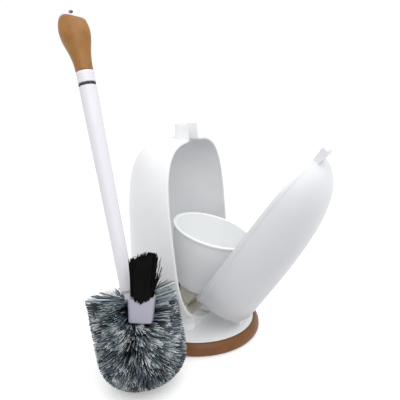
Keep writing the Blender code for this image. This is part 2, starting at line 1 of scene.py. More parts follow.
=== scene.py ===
import math
import bmesh
import bpy
import numpy as np
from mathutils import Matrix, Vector


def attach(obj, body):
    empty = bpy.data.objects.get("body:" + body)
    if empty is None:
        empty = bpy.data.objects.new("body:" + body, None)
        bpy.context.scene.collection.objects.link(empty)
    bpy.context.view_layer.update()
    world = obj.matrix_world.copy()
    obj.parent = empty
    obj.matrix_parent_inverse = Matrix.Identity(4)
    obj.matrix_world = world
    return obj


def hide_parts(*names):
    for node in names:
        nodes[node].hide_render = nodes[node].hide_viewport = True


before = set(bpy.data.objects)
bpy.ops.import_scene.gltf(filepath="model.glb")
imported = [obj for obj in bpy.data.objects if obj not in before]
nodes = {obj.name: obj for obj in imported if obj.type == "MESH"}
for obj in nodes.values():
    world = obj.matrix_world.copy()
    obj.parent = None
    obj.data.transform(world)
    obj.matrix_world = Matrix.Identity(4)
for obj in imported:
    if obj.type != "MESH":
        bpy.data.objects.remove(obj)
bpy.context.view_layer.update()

mm = 0.001
pi = math.pi
print("frame loaded:", len(nodes), "CAD nodes")


# camera, floor and light: a high-key studio, everything soft and nearly shadowless
studio = {"camera": (-481.13, -268.75, 317.06), "aim": (10.04, 1.23, 153.10), "lens": 45.44,
          "zenith": 1.12, "ground": 0.55, "glowFrom": -0.35, "glowTo": 0.75, "backdrop": 1.02,
          "keyAt": (-0.15, -0.7, 1.4), "keySize": 1.2, "keyPower": 5.0,
          "fillAt": (-0.9, -0.5, 0.95), "fillSize": 0.8, "fillPower": 2.6,
          "floor": "#FEFEFE", "floorSize": 6.0, "floorDrop": 0.0004, "floorLift": 0.22}


def linear(hexColour):
    # sRGB hex to linear light, with the two-part curve
    parts = [int(hexColour[k:k + 2], 16) / 255 for k in (1, 3, 5)]
    return tuple(c / 12.92 if c <= 0.04045 else ((c + 0.055) / 1.055) ** 2.4 for c in parts) + (1.0,)


def setNode(node, settings):
    # each setting goes to the input of that name, or else to the node's own property
    for key, value in settings.items():
        if key in node.inputs:
            node.inputs[key].default_value = value
        else:
            setattr(node, key, value)


def addNode(tree, kind, settings=None, links=None):
    # one node with its settings; links maps an input's name to the socket that feeds it
    node = tree.nodes.new(kind)
    setNode(node, settings or {})
    for key, socket in (links or {}).items():
        tree.links.new(socket, node.inputs[key])
    return node


def emptyMaterial(name):
    # a material with its node tree, its shader and the Object coordinates that its patterns read
    material = bpy.data.materials.new(name)
    material.use_nodes = True
    tree = material.node_tree
    shader = tree.nodes["Principled BSDF"]
    place = addNode(tree, "ShaderNodeTexCoord").outputs["Object"]
    return material, tree, shader, place


def ramp(tree, socket, stops):
    # colour band over a 0 to 1 socket, from (position, hex colour) stops
    node = addNode(tree, "ShaderNodeValToRGB", {}, {"Fac": socket})
    band = node.color_ramp
    while len(band.elements) < len(stops):
        band.elements.new(0.5)
    for element, (position, colour) in zip(band.elements, stops):
        element.position = position
        element.color = linear(colour)
    return node.outputs["Color"]


def placeCamera():
    # stands at studio["camera"] and looks at studio["aim"]
    data = bpy.data.cameras.new("camera")
    data.lens = studio["lens"]
    data.sensor_width = 36
    data.clip_start = 0.01
    camera = bpy.data.objects.new("camera", data)
    bpy.context.scene.collection.objects.link(camera)
    eye, aim = Vector(studio["camera"]) * mm, Vector(studio["aim"]) * mm
    camera.location = eye
    camera.rotation_mode = "QUATERNION"
    camera.rotation_quaternion = (aim - eye).to_track_quat("-Z", "Y")
    bpy.context.scene.camera = camera


def softLight(name, place, aim, size, power):
    # round area light; place, aim and size in metres
    data = bpy.data.lights.new(name, "AREA")
    data.shape = "DISK"
    data.size = size
    data.energy = power
    lamp = bpy.data.objects.new(name, data)
    bpy.context.scene.collection.objects.link(lamp)
    lamp.location = place
    lamp.rotation_mode = "QUATERNION"
    lamp.rotation_quaternion = (Vector(aim) - Vector(place)).to_track_quat("-Z", "Y")


def buildStudio():
    # the surround glows from "ground" below the horizon to "zenith" above, and looks white to the camera
    placeCamera()
    world = bpy.data.worlds.new("paper white surround")
    bpy.context.scene.world = world
    world.use_nodes = True
    back = world.node_tree.nodes["Background"]
    back.inputs["Color"].default_value = (1.0, 1.0, 1.0, 1.0)
    sky = world.node_tree
    way = addNode(sky, "ShaderNodeTexCoord").outputs["Generated"]
    height = addNode(sky, "ShaderNodeSeparateXYZ", {}, {"Vector": way}).outputs["Z"]
    glow = addNode(sky, "ShaderNodeMapRange",
                   {"From Min": studio["glowFrom"], "From Max": studio["glowTo"], "To Min": studio["ground"],
                    "To Max": studio["zenith"]}, {"Value": height}).outputs["Result"]
    seen = addNode(sky, "ShaderNodeLightPath").outputs["Is Camera Ray"]
    strength = addNode(sky, "ShaderNodeMix", {"data_type": "FLOAT"})
    strength.inputs[3].default_value = studio["backdrop"]
    sky.links.new(seen, strength.inputs[0])
    sky.links.new(glow, strength.inputs[2])
    sky.links.new(strength.outputs[0], back.inputs["Strength"])
    bpy.context.scene.view_settings.view_transform = "Standard"
    softLight("key softbox", studio["keyAt"], (0.0, 0.0, 0.1), studio["keySize"], studio["keyPower"])
    softLight("fill softbox", studio["fillAt"], (0.0, 0.0, 0.15), studio["fillSize"], studio["fillPower"])
    size = studio["floorSize"]
    mesh = bpy.data.meshes.new("floor")
    mesh.from_pydata([(-size, -size, 0), (size, -size, 0), (size, size, 0), (-size, size, 0)], [], [(0, 1, 2, 3)])
    floor = bpy.data.objects.new("floor", mesh)
    bpy.context.scene.collection.objects.link(floor)
    material, _, shader, _ = emptyMaterial("matt white paper sweep")  # back-lit paper, so that it reads as white
    setNode(shader, {"Base Color": linear(studio["floor"]), "Roughness": 0.9, "Emission Color": (1.0, 1.0, 1.0, 1.0),
                     "Emission Strength": studio["floorLift"]})
    mesh.materials.append(material)
    floor.location = (0, 0, -studio["floorDrop"])
    floor.visible_diffuse = False  # the surround's own ground glow lights the object from below


buildStudio()
print("studio ready")


# materials
def mouldedPlastic(name, colour, shade, roughness, subsurface=0.0):
    # injection-moulded polypropylene: waxy half-gloss, faint tone drift, a skin of fine spark texture
    material, tree, shader, place = emptyMaterial(name)
    drift = addNode(tree, "ShaderNodeTexNoise", {"Scale": 18.0, "Detail": 3.0}, {"Vector": place})
    tree.links.new(ramp(tree, drift.outputs["Fac"], [(0.35, shade), (0.65, colour)]), shader.inputs["Base Color"])
    # spark texture every 0.7 mm, and sink marks and flow about 40 mm across
    grain = addNode(tree, "ShaderNodeTexNoise", {"Scale": 1400.0, "Detail": 2.0}, {"Vector": place})
    wave = addNode(tree, "ShaderNodeTexNoise", {"Scale": 26.0, "Detail": 1.0}, {"Vector": place})
    bump = addNode(tree, "ShaderNodeBump", {"Strength": 0.05, "Distance": 0.0002}, {"Height": grain.outputs["Fac"]})
    sink = addNode(tree, "ShaderNodeBump", {"Strength": 0.15, "Distance": 0.0008},
                   {"Height": wave.outputs["Fac"], "Normal": bump.outputs["Normal"]})
    tree.links.new(sink.outputs["Normal"], shader.inputs["Normal"])
    setNode(shader, {"Roughness": roughness, "IOR": 1.49, "Subsurface Weight": subsurface,
                     "Subsurface Radius": (1.0, 0.95, 0.9), "Subsurface Scale": 0.0015})
    return material


def softRubber(name, colour, shade, roughness, grainSize):
    # moulded thermoplastic rubber: matt, finely pitted, with darker and lighter patches where it is handled;
    # grainSize is the pits' spacing in millimetres
    material, tree, shader, place = emptyMaterial(name)
    patch = addNode(tree, "ShaderNodeTexNoise", {"Scale": 60.0, "Detail": 4.0, "Roughness": 0.6}, {"Vector": place})
    tree.links.new(ramp(tree, patch.outputs["Fac"], [(0.3, shade), (0.7, colour)]), shader.inputs["Base Color"])
    rough = addNode(tree, "ShaderNodeMapRange", {"From Min": 0.3, "From Max": 0.7, "To Min": roughness - 0.06,
                                                 "To Max": roughness + 0.06}, {"Value": patch.outputs["Fac"]})
    tree.links.new(rough.outputs["Result"], shader.inputs["Roughness"])
    pits = addNode(tree, "ShaderNodeTexNoise", {"Scale": 1.0 / (grainSize * mm), "Detail": 2.0}, {"Vector": place})
    bump = addNode(tree, "ShaderNodeBump", {"Strength": 0.25, "Distance": 0.00025}, {"Height": pits.outputs["Fac"]})
    tree.links.new(bump.outputs["Normal"], shader.inputs["Normal"])
    setNode(shader, {"IOR": 1.5})
    return material


def nylonBristle(name, colour, shade, roughness=0.42, specular=0.5):
    # drawn nylon filament: smooth along its length, tone changing from lock to lock, about 4 mm apart
    material, tree, shader, place = emptyMaterial(name)
    lock = addNode(tree, "ShaderNodeTexNoise", {"Scale": 260.0, "Detail": 2.0}, {"Vector": place})
    tree.links.new(ramp(tree, lock.outputs["Fac"], [(0.35, shade), (0.65, colour)]), shader.inputs["Base Color"])
    setNode(shader, {"Roughness": roughness, "IOR": 1.53, "Specular IOR Level": specular})
    return material


def zincSteel(name):
    # zinc-plated steel wire: pale grey with fine drawing lines along X
    material, tree, shader, place = emptyMaterial(name)
    turn = addNode(tree, "ShaderNodeMapping", {"Scale": (30.0, 1500.0, 1500.0)}, {"Vector": place})
    lines = addNode(tree, "ShaderNodeTexNoise", {"Scale": 1.0, "Detail": 2.0}, {"Vector": turn.outputs["Vector"]})
    band = ramp(tree, lines.outputs["Fac"], [(0.3, "#A9ADB1"), (0.7, "#C9CCCE")])
    tree.links.new(band, shader.inputs["Base Color"])
    setNode(shader, {"Metallic": 1.0, "Roughness": 0.32})
    return material


whitePlastic = mouldedPlastic("white polypropylene, injection moulded", "#F3F4F5", "#EFF0F2", 0.34, 0.12)
# the door is the same white polypropylene as the shell, given a greyer colour: painted shade for the shade on the
# door's face
doorPlasticPaintedShade = mouldedPlastic("white polypropylene door, greyed as painted shade", "#E3E4E8", "#DFE0E5", 0.36, 0.08)
# the cup is the same white polypropylene as the shell, given a whiter colour: painted light for the light on the
# cup's inside
cupPlasticPaintedLight = mouldedPlastic("white polypropylene cup, whitened as painted light", "#F8FAFA", "#F5F7F8", 0.36, 0.1)
greyPlastic = mouldedPlastic("pale grey polypropylene, injection moulded", "#A9A7B5", "#A2A0AF", 0.38, 0.0)
warmGreyPlastic = mouldedPlastic("warm grey polypropylene, injection moulded", "#D8D4C6", "#CCC8BA", 0.45)
ringRubber = softRubber("tan rubber ring, moulded", "#7C4A10", "#683D17", 0.46, 1.1)
gripRubber = softRubber("tan soft grip, moulded", "#A57134", "#8F5F28", 0.4, 0.9)
blackRubber = softRubber("black rubber, moulded", "#2A2A2C", "#1D1D1F", 0.6, 0.8)
steel = zincSteel("zinc plated steel, drawn")
navyNylon = nylonBristle("navy nylon bristle, drawn", "#1A222E", "#0B1018")
slateNylon = nylonBristle("slate nylon bristle, drawn", "#5F7080", "#42525F")
sageNylon = nylonBristle("grey green nylon bristle, drawn", "#AEBBB8", "#85959A")
paleNylon = nylonBristle("pale nylon bristle, drawn", "#F2F4F6", "#D3DAE0")
blackNylon = nylonBristle("black nylon bristle, drawn", "#040405", "#020203", 0.9, 0.15)
tubePlastic = mouldedPlastic("white polypropylene tube, extruded", "#E9E7EE", "#E5E3EA", 0.3, 0.08)
print("materials ready")


# mesh helpers
def makeObject(name, points, faces, material):
    # points in millimetres; each face is a list of point numbers
    mesh = bpy.data.meshes.new(name)
    mesh.from_pydata((np.asarray(points, float).reshape(-1, 3) * mm).tolist(), [], [tuple(f) for f in faces])
    obj = bpy.data.objects.new(name, mesh)
    bpy.context.scene.collection.objects.link(obj)
    mesh.materials.append(material)
    return obj


def weld(obj, distance=2e-6):
    # points closer than distance, in metres, become one, and the faces are turned outwards
    bm = bmesh.new()
    bm.from_mesh(obj.data)
    bmesh.ops.remove_doubles(bm, verts=bm.verts, dist=distance)
    bmesh.ops.dissolve_degenerate(bm, edges=bm.edges, dist=1e-7)
    bmesh.ops.recalc_face_normals(bm, faces=bm.faces)
    bm.to_mesh(obj.data)
    bm.free()
    return obj


def smooth(obj, degrees=32):
    # smooth shading, sharp where two faces meet at more than the angle
    with bpy.context.temp_override(object=obj, active_object=obj, selected_objects=[obj],
                                   selected_editable_objects=[obj]):
        bpy.ops.object.shade_smooth_by_angle(angle=math.radians(degrees))
    return obj


def loopFaces(rows, columns, firstCap=False, lastCap=False):
    # quads between rows of a grid whose columns close on themselves
    i, j = np.meshgrid(np.arange(rows - 1), np.arange(columns), indexing="ij")
    k = (j + 1) % columns
    quads = np.stack([i * columns + j, i * columns + k, (i + 1) * columns + k, (i + 1) * columns + j], -1)
    faces = quads.reshape(-1, 4).tolist()
    if firstCap:
        faces.append(list(range(columns))[::-1])
    if lastCap:
        faces.append([(rows - 1) * columns + c for c in range(columns)])
    return faces


def loft(name, grid, material, caps=(False, False), degrees=32):
    # grid is (rows, columns, 3): closed sections carried from the first row to the last
    grid = np.asarray(grid, float)
    obj = makeObject(name, grid, loopFaces(grid.shape[0], grid.shape[1], *caps), material)
    return smooth(weld(obj), degrees)


def lathe(profile, columns):
    # profile rows of (radius, height) turned about the upright axis
    profile = np.asarray(profile, float)
    angle = np.linspace(0, 2 * pi, columns, endpoint=False)
    x = profile[:, :1] * np.cos(angle)
    y = profile[:, :1] * np.sin(angle)
    z = np.repeat(profile[:, 1:2], columns, 1)
    return np.stack([x, y, z], -1)


def spline(points, count):
    # open Catmull-Rom curve through the points, evaluated at evenly spread parameters
    p = np.asarray(points, float)
    p = np.vstack([2 * p[0] - p[1], p, 2 * p[-1] - p[-2]])
    spans = len(p) - 3
    t = np.linspace(0, spans, count)
    i = np.minimum(t.astype(int), spans - 1)
    u = (t - i)[:, None]
    a, b, c, d = p[i], p[i + 1], p[i + 2], p[i + 3]
    return 0.5 * (2 * b + (c - a) * u + (2 * a - 5 * b + 4 * c - d) * u ** 2 + (3 * b - a - 3 * c + d) * u ** 3)


def roundedCorners(points, radius, steps=3):
    # open profile whose inner corners are rounded by short quadratic curves
    p = np.asarray(points, float)
    out = [p[:1]]
    t = np.linspace(0, 1, steps + 1)[:, None]
    for k in range(1, len(p) - 1):
        back, ahead = p[k - 1] - p[k], p[k + 1] - p[k]
        backLength, aheadLength = np.linalg.norm(back), np.linalg.norm(ahead)
        r = min(radius, 0.45 * backLength, 0.45 * aheadLength)
        a, b = p[k] + back / backLength * r, p[k] + ahead / aheadLength * r
        out.append((1 - t) ** 2 * a + 2 * t * (1 - t) * p[k] + t ** 2 * b)
    out.append(p[-1:])
    return np.vstack(out)


def roundedLoop(points, radius):
    # closed outline with its corners rounded
    p = np.asarray(points, float)
    ring = np.vstack([0.5 * (p[-1] + p[0]), p, 0.5 * (p[-1] + p[0])])
    return roundedCorners(ring, radius)[:-1]


def turned(points, axis, degrees):
    # tips points forwards about a cross axis given as (forwards, up)
    a = math.radians(degrees)
    p = np.array(points, float)
    f, u = -p[..., 1] - axis[0], p[..., 2] - axis[1]
    p[..., 1] = -(axis[0] + f * math.cos(a) + u * math.sin(a))
    p[..., 2] = axis[1] - f * math.sin(a) + u * math.cos(a)
    return p


def plateAcross(outline, x0, x1):
    # flat plate across X; the outline is (forwards, up)
    outline = np.asarray(outline, float)
    n = len(outline)
    points = np.vstack([np.column_stack([np.full(n, x), -outline[:, 0], outline[:, 1]]) for x in (x0, x1)])
    faces = [list(range(n)), list(range(2 * n - 1, n - 1, -1))]
    faces += [[k, (k + 1) % n, n + (k + 1) % n, n + k] for k in range(n)]
    return points, faces


def cutAway(obj, tool):
    # Boolean difference, applied at once, after which the tool is gone
    change = obj.modifiers.new("cut", "BOOLEAN")
    change.operation = "DIFFERENCE"
    change.solver = "EXACT"
    change.object = tool
    bpy.context.view_layer.update()
    made = bpy.data.meshes.new_from_object(obj.evaluated_get(bpy.context.evaluated_depsgraph_get()))
    obj.modifiers.clear()
    obj.data = made
    bpy.data.objects.remove(tool)


def join(obj, *others):
    # islands of one piece put into one mesh
    bm = bmesh.new()
    bm.from_mesh(obj.data)
    for other in others:
        bm.from_mesh(other.data)
        bpy.data.objects.remove(other)
    bm.to_mesh(obj.data)
    bm.free()


def finishPiece(obj, body, slot, *replaced):
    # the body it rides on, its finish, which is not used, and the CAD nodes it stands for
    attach(obj, body)
    if replaced:
        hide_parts(*replaced)


def softenEdges(obj, width):
    # merged corners and a small radius, in millimetres, along every edge sharper than 35 degrees
    merge = obj.modifiers.new("merge", "WELD")
    merge.merge_threshold = 1e-6
    edge = obj.modifiers.new("edge radius", "BEVEL")
    edge.width = width * mm
    edge.segments = 2
    edge.limit_method = "ANGLE"
    edge.angle_limit = math.radians(35)


# base: crowned disc in a rubber ring
base = {"ringR": 75.0, "ringTopR": 70.4, "ringH": 14.0, "ringIn": 66.0, "crown": 1.2, "discWall": 2.6,
        "columns": 180, "lugHalf": 5.5, "lugR": 6.0, "axis": (53.9, 31.0)}


def buildBase():
    # two turned profiles: the ring with a bulging outside, and the disc that sits in it and carries the door's lug
    b = base
    rOut, rIn = b["ringR"], b["ringIn"]
    section = np.array([(rIn, 0.4), (rIn + 0.5, 0.0), (rOut - 3.2, 0.0), (rOut - 1.6, 0.4), (rOut - 0.4, 2.2),
                        (rOut, 4.6), (rOut - 0.4, 7.6), (rOut - 1.5, 10.2), (rOut - 3.2, 12.6),
                        (b["ringTopR"] + 0.5, 13.75), (b["ringTopR"] - 0.3, b["ringH"]), (rIn + 2.0, b["ringH"]),
                        (rIn + 2.0, 10.5), (rIn, 10.5)])
    smoothPart = spline(section[1:11], 40)
    closed = np.vstack([section[:1], smoothPart, section[11:], section[:1]])
    ring = loft("tan_ring", lathe(closed, b["columns"]), ringRubber, degrees=40)
    finishPiece(ring, "base", "tan_rubber", "base_ring")

    r, top = rIn - 0.3, b["ringH"] + 0.2
    profile = [(0.0, 11.6), (60.0, 11.2), (r - b["discWall"], 10.8), (r - b["discWall"], 2.5), (r, 2.5), (r, 10.8),
               (r + 2.0, 10.8), (r + 2.0, top - 0.5), (r + 1.2, top), (60.0, top + 0.55 * b["crown"]),
               (46.0, top + b["crown"] - 0.25), (0.0, b["ringH"] + b["crown"])]
    disc = loft("base_top", lathe(roundedCorners(profile, 0.5), b["columns"]), whitePlastic, degrees=30)
    f, z = b["axis"]
    turn = np.linspace(0, pi, 25)
    outline = [(f - b["lugR"], 13.0), (f + b["lugR"], 13.0)]
    outline += [(f + b["lugR"] * math.cos(a), z + b["lugR"] * math.sin(a)) for a in turn]
    lug = makeObject("lug", *plateAcross(outline, -b["lugHalf"], b["lugHalf"]), whitePlastic)
    join(disc, weld(lug))
    finishPiece(disc, "base", "white_plastic", "base_disc")


buildBase()
print("base built")


# body: a capsule shell with a slanted mouth and a slotted collar
body = {"top": 226.0, "radius": 67.0, "axisF": -12.5, "wall": 2.6, "shoulder": 106.5, "crownP": 4.07, "crownQ": 3.43,
        "mouthP": 3.66, "mouthQ": 1.69, "splitF": 6.8, "splitSlope": -0.101, "splitZ": 121.0, "bottom": 15.5,
        "flare": 46.0, "flareH": 6.0, "edge": 0.8, "collarF": -14.5, "collarIn": 9.3, "collarWall": 2.5,
        "collarTop": 242.0, "collarEdge": 0.7, "slotEdge": 1.2, "rowsLow": 44, "rowsHigh": 44, "rowsCrown": 14,
        "columns": 150}


def splitForward(z):
    # how far forwards the slanted split plane lies at a height
    return body["splitF"] + body["splitSlope"] * (z - body["splitZ"])


def mouthHalf(z):
    # half width of the mouth in the split plane: above the shoulder the chord of the capsule's superellipse,
    # below it the chord at full radius, narrowing as another superellipse
    z = np.asarray(z, float)
    d = splitForward(z) - body["axisF"]
    t = np.clip((z - body["shoulder"]) / (body["top"] - body["shoulder"]), 0, 1)
    high = np.sqrt(np.maximum((body["radius"] * (1 - t ** body["crownP"]) ** (1 / body["crownQ"])) ** 2 - d ** 2, 0))
    t = np.clip((body["shoulder"] - z) / (body["shoulder"] - body["bottom"]), 0, 1)
    low = np.sqrt(body["radius"] ** 2 - d ** 2) * (1 - t ** body["mouthP"]) ** (1 / body["mouthQ"])
    return np.where(z >= body["shoulder"], high, low)


def crownHeight(radius):
    # height of the crown's superellipse at a distance from the capsule's axis
    share = np.clip(np.asarray(radius) / body["radius"], 0, 1)
    return body["shoulder"] + (body["top"] - body["shoulder"]) * (1 - share ** body["crownQ"]) ** (1 / body["crownP"])


def insetPoint(r, z, inset):
    # a point of the outer skin drawn in towards the capsule's middle
    middle = 0.5 * (body["top"] + body["bottom"])
    return r * (1 - inset / body["radius"]), middle + (z - middle) * (1 - inset / (middle - body["bottom"]))


def bodyRows(inset):
    # radius and height of every level row, from the foot to where the mouth is as wide as the slot
    a = np.linspace(0, 0.5 * pi, body["rowsLow"], endpoint=False)
    z = body["shoulder"] - np.cos(a) ** (2 / body["mouthP"]) * (body["shoulder"] - body["bottom"])
    r = np.hypot(mouthHalf(z), splitForward(z) - body["axisF"])
    low = np.stack(insetPoint(r, z, inset), -1)
    if not inset:
        flare = body["flare"] + 6.0 * np.maximum(0, 1 - (z - body["bottom"]) / body["flareH"]) ** 2
        low[:, 0] = np.where(z < 40, np.maximum(low[:, 0], flare), low[:, 0])

    def upper(angle):
        radius = body["radius"] * np.maximum(np.cos(angle), 0) ** (2 / body["crownQ"])
        height = body["shoulder"] + (body["top"] - body["shoulder"]) * np.sin(angle) ** (2 / body["crownP"])
        return insetPoint(radius, height, inset)

    start, end = 0.0, 0.5 * pi
    for _ in range(50):
        middle = 0.5 * (start + end)
        radius, height = upper(middle)
        slotHalf = body["collarIn"] + body["slotEdge"]
        wide = radius ** 2 - (splitForward(height) - body["axisF"]) ** 2 > slotHalf ** 2
        start, end = (middle, end) if wide else (start, middle)
    high = np.stack(upper(np.linspace(0, start, body["rowsHigh"])), -1)
    return np.vstack([low, high])


def bodySkin(inset):
    # arcs from the mouth's one edge round the back to the other, then rows that close in to the slot's outline,
    # whose edge is hidden inside the collar's wall
    rows = bodyRows(inset)
    r, z = rows[:, 0], rows[:, 1]
    d = splitForward(z) - body["axisF"]
    r = np.maximum(r, d)
    edgeX = np.sqrt(np.maximum(r ** 2 - d ** 2, 0))
    start = np.arctan2(edgeX, d)
    trim = np.minimum(body["edge"] / r, 0.2)
    share = np.linspace(0, 1, body["columns"])
    angle = (start + trim)[:, None] + share * (2 * pi - 2 * (start + trim))[:, None]
    x = -r[:, None] * np.sin(angle)
    f = body["axisF"] + r[:, None] * np.cos(angle)
    grid = np.stack([x, -f, np.repeat(z[:, None], len(share), 1)], -1)
    corner = np.stack([-edgeX, -(body["axisF"] + d), z], -1)
    w, front, back = body["collarIn"] + body["slotEdge"], body["axisF"] + d[-1], body["collarF"]
    straight, arc = front - back, pi * w
    s = share * (2 * straight + arc)
    turn = np.clip((s - straight) / w, 0, pi)
    slotX = -w * np.cos(turn)
    slotF = np.where(s < straight, front - s, np.where(s > straight + arc, back + s - straight - arc,
                                                       back - w * np.sin(turn)))
    crown = []
    for k in range(1, body["rowsCrown"] + 1):
        m = k / body["rowsCrown"]
        px, pf = (1 - m) * x[-1] + m * slotX, (1 - m) * f[-1] + m * slotF
        radius = np.hypot(px, pf - body["axisF"])
        if inset:
            _, height = insetPoint(radius, crownHeight(radius / (1 - inset / body["radius"])), inset)
        else:
            height = crownHeight(radius)
        crown.append(np.stack([px, -pf, height], -1))
    grid = np.concatenate([grid, np.array(crown)])
    corner = np.vstack([corner, np.repeat(corner[-1:], body["rowsCrown"], 0)])
    return grid, corner


def edgeCurve(a, corner, b, steps=4):
    # quadratic curve that rounds a corner: from a, bent by the corner, to b
    t = np.linspace(0, 1, steps)[None, :, None]
    return (1 - t) ** 2 * a[:, None] + 2 * t * (1 - t) * corner[:, None] + t ** 2 * b[:, None]


def rimmedLoop(outer, outerCorner, inner, innerCorner, edge):
    # closed loop for each row: outer skin, rounded rim, inner skin back again, rounded rim
    def towards(p, q):
        v = q - p
        length = np.maximum(np.linalg.norm(v, axis=1, keepdims=True), 1e-9)
        return p + v / length * np.minimum(edge, 0.4 * length)

    mirror = np.array([-1.0, 1.0, 1.0])
    left = np.concatenate([edgeCurve(inner[:, 0], innerCorner, towards(innerCorner, outerCorner))[:, 1:],
                           edgeCurve(towards(outerCorner, innerCorner), outerCorner, outer[:, 0])[:, :-1]], 1)
    right = left[:, ::-1] * mirror
    return np.concatenate([outer, right, inner[:, ::-1], left], 1)


def buildShell():
    # both skins as one loop per row, closed below by fans, with the collar as an island over the slot
    b = body
    outer, outerCorner = bodySkin(0.0)
    inner, innerCorner = bodySkin(b["wall"])
    grid = rimmedLoop(outer, outerCorner, inner, innerCorner, b["edge"])
    rows, columns = grid.shape[:2]
    n = b["columns"]
    faces = loopFaces(rows, columns)
    last = (rows - 1) * columns
    side = (columns - 2 * n) // 2
    innerAt = [last + n + side + n - 1 - c for c in range(n)]
    faces += [[last + c, last + c + 1, innerAt[c + 1], innerAt[c]] for c in range(n - 1)]  # wall of the slot
    points = grid.reshape(-1, 3).tolist()
    middle = len(points)
    points.append([0.0, -splitForward(b["bottom"]), b["bottom"]])
    points.append([0.0, -b["axisF"], inner[0, 0, 2]])
    faces += [[middle, c + 1, c] for c in range(n - 1)]  # underside
    start = n + side
    faces += [[middle + 1, start + c, start + c + 1] for c in range(n - 1)]  # floor of the body
    rimRight = list(range(n - 1, n + side + 1))
    rimLeft = list(range(n + side + n - 1, columns)) + [0]
    faces += [[middle, p, q] for chain in (rimRight, rimLeft) for p, q in zip(chain, chain[1:])]
    shell = smooth(weld(makeObject("back_body", points, faces, whitePlastic), 4e-6), 30)
    w, t = b["collarIn"], b["collarWall"]
    turn = np.linspace(0, pi, 41)
    low, top, edge = b["top"] - 1.9, b["collarTop"], b["collarEdge"]

    def outline(radius, front):
        x = np.concatenate([[-radius], -radius * np.cos(turn), [radius]])
        f = np.concatenate([[front], b["collarF"] - radius * np.sin(turn), [front]])
        return x, f

    rows = []
    wallSection = ((w, low, 0), (w, top - edge, 0), (w + 0.2 * edge, top - 0.3 * edge, 0.3 * edge),
                   (w + edge, top, edge), (w + t - edge, top, edge),
                   (w + t - 0.2 * edge, top - 0.3 * edge, 0.3 * edge), (w + t, top - edge, 0), (w + t, low, 0))
    for radius, z, shift in wallSection:
        x, f = outline(radius, splitForward(z) - shift)
        rows.append(np.stack([x, -f, np.full(len(x), z)], -1))
    section = np.array(rows).transpose(1, 0, 2)  # the wall's section carried along the U
    collar = loft("collar", section, whitePlastic, (True, True), 34)
    join(shell, collar)
    finishPiece(shell, "base", "white_plastic", "back_shell")


buildShell()
print("body built")


# door: the capsule's front half, hinged at its foot and shown open
door = {"depth": 52.5, "belly": 0.129, "p1": 3.295, "q1": 2.958, "p2": 2.73, "q2": 2.34, "wall": 2.6, "gap": 0.8,
        "lipWidth": 4.2, "lip": 0.9, "open": 39.4, "axis": (53.9, 31.0), "tabHalf": 8.6, "tabDepth": 7.0,
        "earHalf": 5.5, "ear": 3.0, "linkX": 12.0, "linkT": 3.2, "slotPlay": 1.2, "edge": 0.7, "rows": 110,
        "columns": 140}


def doorDepth(s):
    # share of the full depth at share s of the height: one superellipse above the belly and one below it
    high = (1 - np.clip((s - door["belly"]) / (1 - door["belly"]), 0, 1) ** door["p1"]) ** (1 / door["q1"])
    low = (1 - np.clip((door["belly"] - s) / door["belly"], 0, 1) ** door["p2"]) ** (1 / door["q2"])
    return np.where(s >= door["belly"], high, low)


def mouthTop():
    # height at which the mouth closes, found by halving
    low, high = body["shoulder"], body["top"]
    for _ in range(60):
        middle = 0.5 * (low + high)
        low, high = (middle, high) if mouthHalf(middle) > 0 else (low, middle)
    return low


def doorSkin(inset):
    # half ellipses in front of the split plane, as wide as the mouth, their depth following the belly curve;
    # a lip stands out along the edge
    low, high = body["bottom"] + 0.6, mouthTop()
    share = 0.5 - 0.5 * np.cos(pi * np.linspace(0, 1, door["rows"]))
    share = share + 0.5 * (0.5 - 0.5 * np.cos(pi * share) - share)
    z = low + share * (high - low)
    half = mouthHalf(z)
    depth = door["depth"] * doorDepth((z - low) / (body["top"] - low))
    middle = 0.5 * (low + high)
    level = middle + (z - middle) * (1 - inset / (middle - low))
    half = half * (1 - inset / np.maximum(half, 20.0))
    depth = depth * (1 - inset / np.maximum(depth, 20.0))
    f0 = splitForward(level) + door["gap"]
    trim = np.where(depth > 1.0, np.minimum(door["edge"] / np.maximum(depth, 1.0), 0.3), 0.0)
    angle = trim[:, None] + np.linspace(0, 1, door["columns"]) * (pi - 2 * trim)[:, None]
    out = depth[:, None] * np.sin(angle)
    lip = 0.0 * half if inset else door["lip"] * np.minimum(half, 6) / 6
    stand = lip[:, None] * np.clip((door["lipWidth"] + 0.5 - out) / 0.5, 0, 1)
    x = half[:, None] * np.cos(angle) + stand * np.sign(np.cos(angle))
    grid = np.stack([x, -(f0[:, None] + out), np.repeat(level[:, None], door["columns"], 1)], -1)
    corner = np.stack([half + lip, -f0, level], -1)
    return grid, corner


